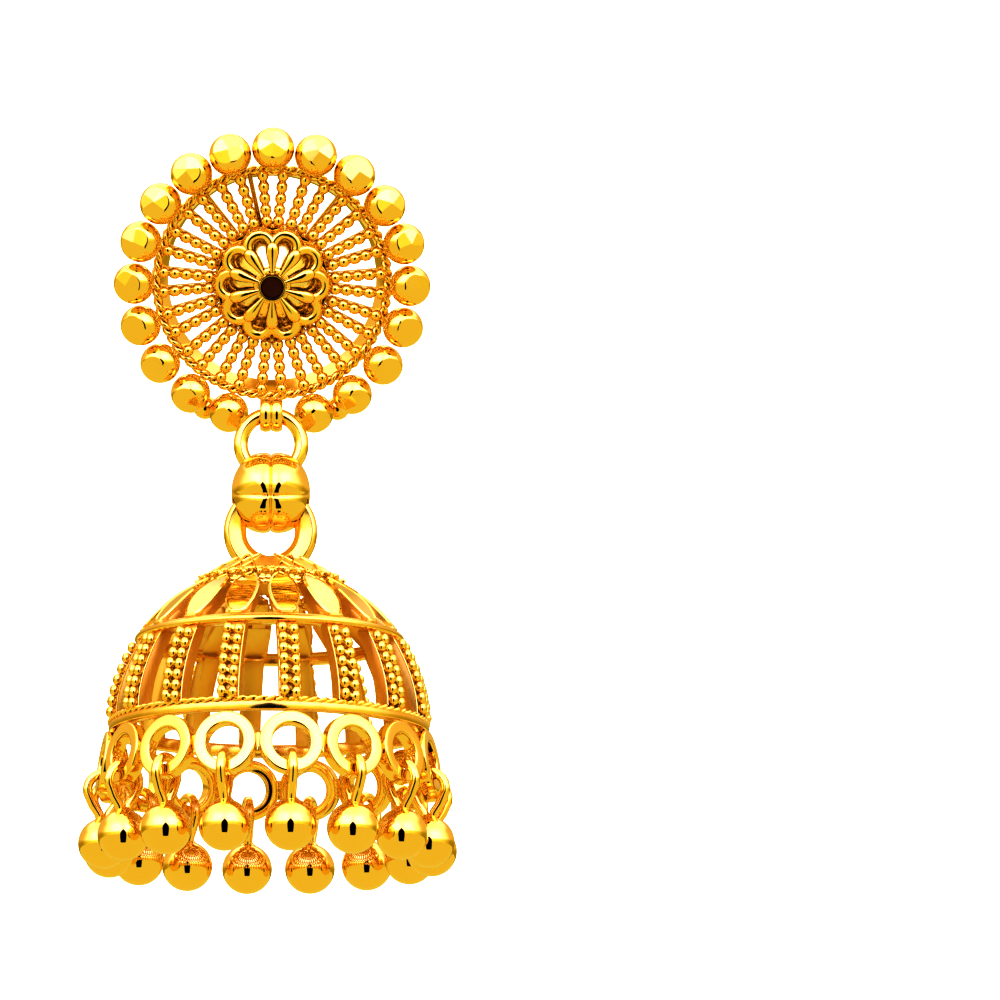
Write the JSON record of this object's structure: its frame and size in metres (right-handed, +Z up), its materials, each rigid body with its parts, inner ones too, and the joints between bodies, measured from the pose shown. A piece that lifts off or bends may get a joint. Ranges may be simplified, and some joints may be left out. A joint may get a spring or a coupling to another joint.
{
  "type": "jhumka earring",
  "caption": "Gold drop earring: pierced round stud ringed with faceted beads, lobed bead on a jump ring, and an open bell with a fringe of hanging balls.",
  "frame": {"origin": "root of the ear post, at the middle of the pad's rear face, where the stud sits against the ear lobe", "axes": "+Z up as the earring hangs, the decorated front towards -Y, +X to the right of the front view; the stud's face leans back, so the post points to the rear and up"},
  "size_m": [0.0232, 0.0233, 0.0459],
  "materials": {
    "gold": "polished gold plating, bright yellow, with granulated edges",
    "dark_enamel": "dark brown enamel, softly glossy"
  },
  "bodies": {
    "stud": {"stud_frame": "gold", "rosette": "gold", "collet": "gold", "centre_disc": "dark_enamel", "rim_bead_01": "gold", "rim_bead_02": "gold", "rim_bead_03": "gold", "rim_bead_04": "gold", "rim_bead_05": "gold", "rim_bead_06": "gold", "rim_bead_07": "gold", "rim_bead_08": "gold", "rim_bead_09": "gold", "rim_bead_10": "gold", "rim_bead_11": "gold", "rim_bead_12": "gold", "rim_bead_13": "gold", "rim_bead_14": "gold", "rim_bead_15": "gold", "rim_bead_16": "gold", "rim_bead_17": "gold", "rim_bead_18": "gold", "rim_bead_19": "gold", "rear_bead_left": "gold", "rear_bead_right": "gold", "drop_bail": "gold", "ear_post": "gold"},
    "jump_ring": {"jump_ring": "gold"},
    "drop": {"lobed_bead": "gold", "bell_loop": "gold", "petal_crown": "gold", "bell_cage": "gold", "washer_row": "gold", "ball_drop_01": "gold", "ball_drop_02": "gold", "ball_drop_03": "gold", "ball_drop_04": "gold", "ball_drop_05": "gold", "ball_drop_06": "gold", "ball_drop_07": "gold", "ball_drop_08": "gold", "ball_drop_09": "gold", "ball_drop_10": "gold", "ball_drop_11": "gold", "ball_drop_12": "gold", "ball_drop_13": "gold", "ball_drop_14": "gold", "ball_drop_15": "gold", "ball_drop_16": "gold"}
  },
  "joints": [
    {"name": "ring_swing", "type": "hinge", "parent": "stud", "child": "jump_ring", "pos_m": [0, -0.00054, -0.009], "axis": [1, 0, 0], "range_deg": [-60, 30]},
    {"name": "drop_sway", "type": "hinge", "parent": "jump_ring", "child": "drop", "pos_m": [0, -0.00054, -0.0109], "axis": [0, 1, 0], "range_deg": [-35, 35]}
  ]
}
